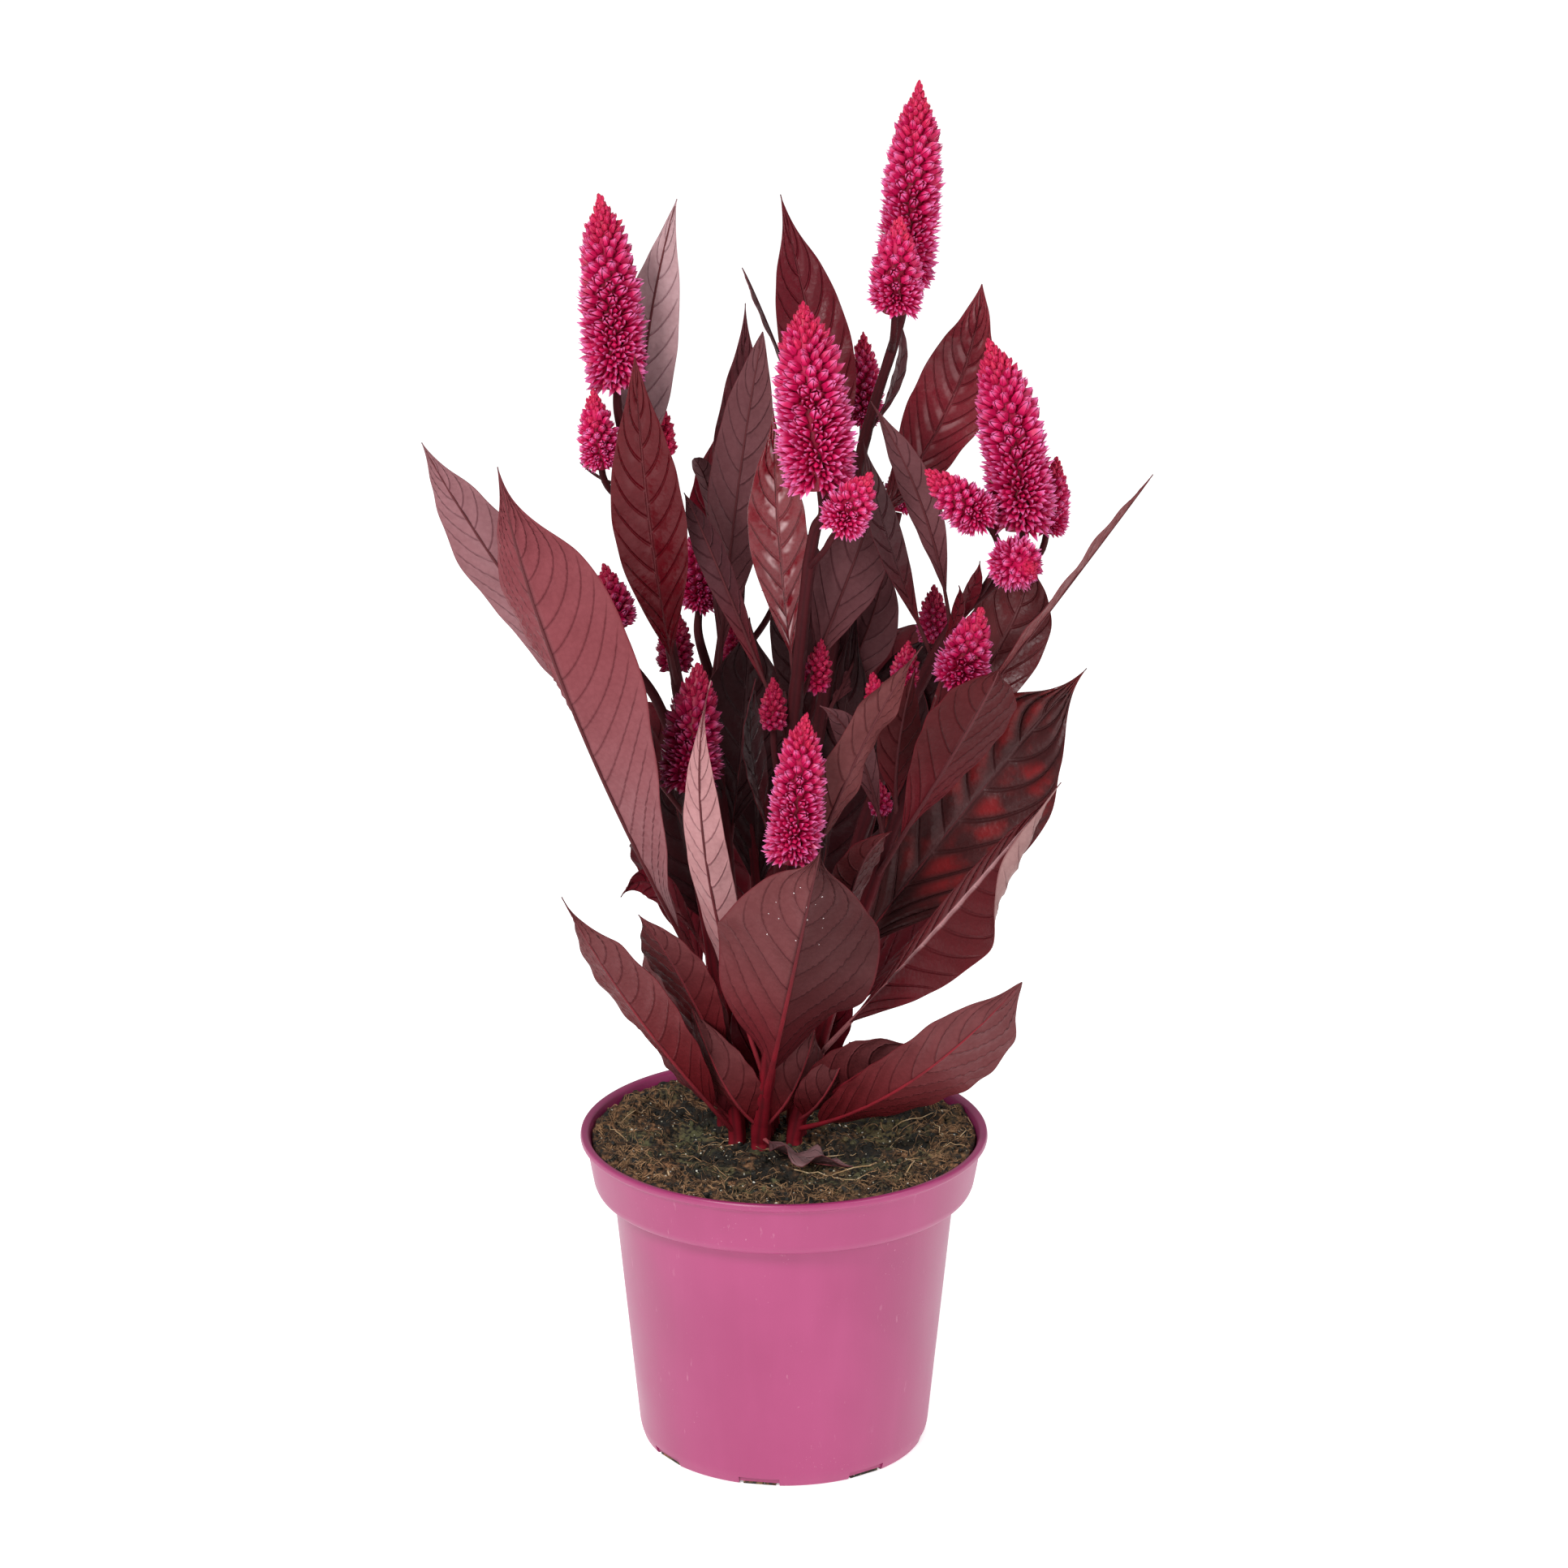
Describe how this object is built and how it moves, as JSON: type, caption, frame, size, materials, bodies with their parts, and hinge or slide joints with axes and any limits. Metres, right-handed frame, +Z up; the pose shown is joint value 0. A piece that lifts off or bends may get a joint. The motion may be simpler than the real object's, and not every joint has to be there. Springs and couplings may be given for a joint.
{
  "type": "plume celosia in a nursery pot",
  "caption": "Potted plume celosia: dark red leafy stems that end in tapered magenta flower spikes, growing in peat in a round plastic nursery pot.",
  "frame": {"origin": "centre of the pot's foot, on the surface that the pot stands on", "axes": "+Z up along the pot's axis, -Y towards the viewer, where the lower stems and the fuller leaves are, +X to the viewer's right"},
  "size_m": [0.2009, 0.161, 0.402],
  "materials": {
    "pot": "satin",
    "peat": "matte",
    "leafy_stem": "satin",
    "spike": "satin"
  },
  "bodies": {
    "root": {"peat": "peat", "pot": "pot", "spike_back": "spike", "spike_back_left": "spike", "spike_back_left_side_1": "spike", "spike_back_left_side_2": "spike", "spike_back_side_1": "spike", "spike_bud_left": "spike", "spike_centre": "spike", "spike_centre_side_1": "spike", "spike_centre_side_2": "spike", "spike_centre_side_3": "spike", "spike_far_back": "spike", "spike_far_back_side_1": "spike", "spike_front": "spike", "spike_left": "spike", "spike_left_side_1": "spike", "spike_left_side_2": "spike", "spike_low_right": "spike", "spike_low_right_side_1": "spike", "spike_right": "spike", "spike_right_side_1": "spike", "spike_right_side_2": "spike", "spike_right_side_3": "spike", "spike_right_side_4": "spike", "spike_shade": "spike", "spike_tall": "spike", "spike_tall_side_1": "spike", "stem_back": "leafy_stem", "stem_back_left": "leafy_stem", "stem_bud_left": "leafy_stem", "stem_centre": "leafy_stem", "stem_far_back": "leafy_stem", "stem_front": "leafy_stem", "stem_left": "leafy_stem", "stem_low_right": "leafy_stem", "stem_right": "leafy_stem", "stem_shade": "leafy_stem", "stem_tall": "leafy_stem"}
  },
  "joints": []
}
